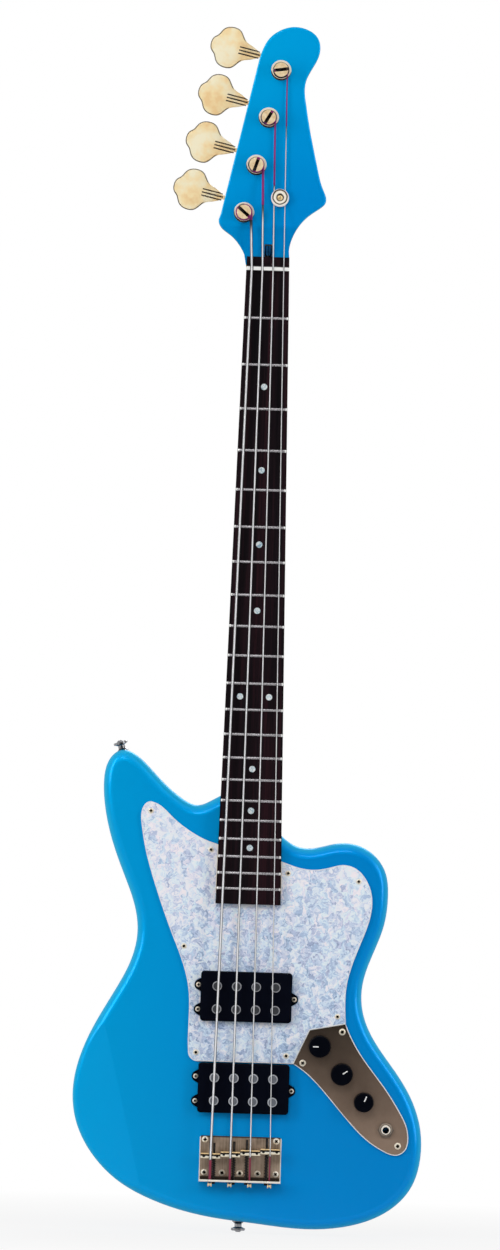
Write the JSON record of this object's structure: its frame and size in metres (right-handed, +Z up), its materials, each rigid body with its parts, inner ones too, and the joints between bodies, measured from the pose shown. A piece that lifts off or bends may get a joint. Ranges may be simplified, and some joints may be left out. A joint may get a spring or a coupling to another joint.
{
  "type": "electric bass guitar",
  "caption": "Solid-body electric bass guitar with an offset-waist body, bolt-on neck, geared tuners, sliding bridge saddles, height-adjustable pickups and turning control knobs.",
  "frame": {"origin": "foot of the end strap button on the body's lower rim, on the neck's centreline and halfway through the body's thickness", "axes": "+Z up along the neck to the headstock, -Y out of the front, +X to the right as a viewer faces the front"},
  "size_m": [0.3429, 0.0659, 1.1817],
  "materials": {
    "painted_wood": "gloss blue lacquer",
    "neck_wood": "satin lacquered maple",
    "board_wood": "oiled dark wood",
    "fret_metal": "polished",
    "pearl": "pearl",
    "bone": "polished",
    "rod_steel": "plain",
    "gold": "polished gold plating",
    "string_steel": "round wound",
    "guard_pearl": "white pearl laminate",
    "pickup_black": "satin black",
    "pole_steel": "plain",
    "coil_wire": "enamelled wire",
    "foam": "open foam",
    "control_metal": "smoked gold plating",
    "pot_steel": "plated",
    "knob_black": "gloss black",
    "chrome": "polished"
  },
  "bodies": {
    "instrument": {"body": "painted_wood", "neck": "neck_wood", "fingerboard": "board_wood", "frets": "fret_metal", "position_markers": "pearl", "nut": "bone", "truss_rod": "rod_steel", "string_retainer": "gold", "headstock_screws": "gold", "tuner_plates": "gold", "tuner_bushings": "gold", "bridge_plate": "gold", "bridge_screws": "gold", "intonation_screws": "rod_steel", "pickguard": "guard_pearl", "face_screws": "gold", "control_plate": "control_metal", "pickup_foam": "foam", "potentiometers": "pot_steel", "control_nuts": "gold", "jack_socket": "gold", "strap_buttons": "chrome", "neck_plate": "gold", "neck_screws": "gold", "string_e": "string_steel", "intonation_spring_e": "rod_steel", "string_a": "string_steel", "intonation_spring_a": "rod_steel", "string_d": "string_steel", "intonation_spring_d": "rod_steel", "string_g": "string_steel", "intonation_spring_g": "rod_steel"},
    "tuning_key_e": {"tuning_key_e": "gold"},
    "string_post_e": {"string_post_e": "gold"},
    "saddle_e": {"saddle_e": "gold", "saddle_height_screws_e": "rod_steel"},
    "tuning_key_a": {"tuning_key_a": "gold"},
    "string_post_a": {"string_post_a": "gold"},
    "saddle_a": {"saddle_a": "gold", "saddle_height_screws_a": "rod_steel"},
    "tuning_key_d": {"tuning_key_d": "gold"},
    "string_post_d": {"string_post_d": "gold"},
    "saddle_d": {"saddle_d": "gold", "saddle_height_screws_d": "rod_steel"},
    "tuning_key_g": {"tuning_key_g": "gold"},
    "string_post_g": {"string_post_g": "gold"},
    "saddle_g": {"saddle_g": "gold", "saddle_height_screws_g": "rod_steel"},
    "neck_volume_knob": {"neck_volume_knob": "knob_black"},
    "bridge_volume_knob": {"bridge_volume_knob": "knob_black"},
    "tone_knob": {"tone_knob": "knob_black"},
    "neck_pickup": {"neck_pickup_cover": "pickup_black", "neck_pickup_poles": "pole_steel", "neck_pickup_coils": "coil_wire", "neck_pickup_screws": "gold"},
    "bridge_pickup": {"bridge_pickup_cover": "pickup_black", "bridge_pickup_poles": "pole_steel", "bridge_pickup_coils": "coil_wire", "bridge_pickup_screws": "gold"},
    "truss_rod_nut": {"truss_rod_nut": "rod_steel"}
  },
  "joints": [
    {"name": "tuning_key_e_turn", "type": "hinge", "parent": "instrument", "child": "tuning_key_e", "pos_m": [-0.02286, 0.00125, 0.99696], "axis": [-0.9748, 0, 0.2233], "continuous": true},
    {"name": "string_post_e_turn", "type": "hinge", "parent": "instrument", "child": "string_post_e", "pos_m": [-0.025, -0.02225, 0.9876], "axis": [0, 1, 0], "continuous": true},
    {"name": "tuning_key_a_turn", "type": "hinge", "parent": "instrument", "child": "tuning_key_a", "pos_m": [-0.01216, 0.00125, 1.04365], "axis": [-0.9748, 0, 0.2233], "continuous": true},
    {"name": "string_post_a_turn", "type": "hinge", "parent": "instrument", "child": "string_post_a", "pos_m": [-0.01431, -0.02225, 1.03429], "axis": [0, 1, 0], "continuous": true},
    {"name": "tuning_key_d_turn", "type": "hinge", "parent": "instrument", "child": "tuning_key_d", "pos_m": [-0.00147, 0.00125, 1.09034], "axis": [-0.9748, 0, 0.2233], "continuous": true},
    {"name": "string_post_d_turn", "type": "hinge", "parent": "instrument", "child": "string_post_d", "pos_m": [-0.00361, -0.02225, 1.08098], "axis": [0, 1, 0], "continuous": true},
    {"name": "tuning_key_g_turn", "type": "hinge", "parent": "instrument", "child": "tuning_key_g", "pos_m": [0.00922, 0.00125, 1.13703], "axis": [-0.9748, 0, 0.2233], "continuous": true},
    {"name": "string_post_g_turn", "type": "hinge", "parent": "instrument", "child": "string_post_g", "pos_m": [0.00708, -0.02225, 1.12767], "axis": [0, 1, 0], "continuous": true},
    {"name": "saddle_e_slide", "type": "slide", "parent": "instrument", "child": "saddle_e", "axis": [0, 0, 1], "range_m": [-0.002, 0.002], "deforming": ["intonation_spring_e"]},
    {"name": "saddle_a_slide", "type": "slide", "parent": "instrument", "child": "saddle_a", "axis": [0, 0, 1], "range_m": [-0.002, 0.002], "deforming": ["intonation_spring_a"]},
    {"name": "saddle_d_slide", "type": "slide", "parent": "instrument", "child": "saddle_d", "axis": [0, 0, 1], "range_m": [-0.002, 0.002], "deforming": ["intonation_spring_d"]},
    {"name": "saddle_g_slide", "type": "slide", "parent": "instrument", "child": "saddle_g", "axis": [0, 0, 1], "range_m": [-0.002, 0.002], "deforming": ["intonation_spring_g"]},
    {"name": "neck_volume_knob_turn", "type": "hinge", "parent": "instrument", "child": "neck_volume_knob", "pos_m": [0.07443, -0.02225, 0.174], "axis": [0, -1, 0], "range_deg": [-240, 60]},
    {"name": "bridge_volume_knob_turn", "type": "hinge", "parent": "instrument", "child": "bridge_volume_knob", "pos_m": [0.0968, -0.02225, 0.14734], "axis": [0, -1, 0], "range_deg": [-96, 204]},
    {"name": "tone_knob_turn", "type": "hinge", "parent": "instrument", "child": "tone_knob", "pos_m": [0.11917, -0.02225, 0.12068], "axis": [0, -1, 0], "range_deg": [-128, 172]},
    {"name": "neck_pickup_height", "type": "slide", "parent": "instrument", "child": "neck_pickup", "axis": [0, -1, 0], "range_m": [-0.001, 0.001]},
    {"name": "bridge_pickup_height", "type": "slide", "parent": "instrument", "child": "bridge_pickup", "axis": [0, -1, 0], "range_m": [-0.001, 0.001]},
    {"name": "truss_rod_nut_turn", "type": "hinge", "parent": "instrument", "child": "truss_rod_nut", "pos_m": [0, -0.02025, 0.9445], "axis": [0, 0, 1], "range_deg": [-180, 180]}
  ],
  "couplings": [
    {"joint": "string_post_e_turn", "follows": "tuning_key_e_turn", "ratio": 0.05},
    {"joint": "string_post_a_turn", "follows": "tuning_key_a_turn", "ratio": 0.05},
    {"joint": "string_post_d_turn", "follows": "tuning_key_d_turn", "ratio": 0.05},
    {"joint": "string_post_g_turn", "follows": "tuning_key_g_turn", "ratio": 0.05}
  ]
}
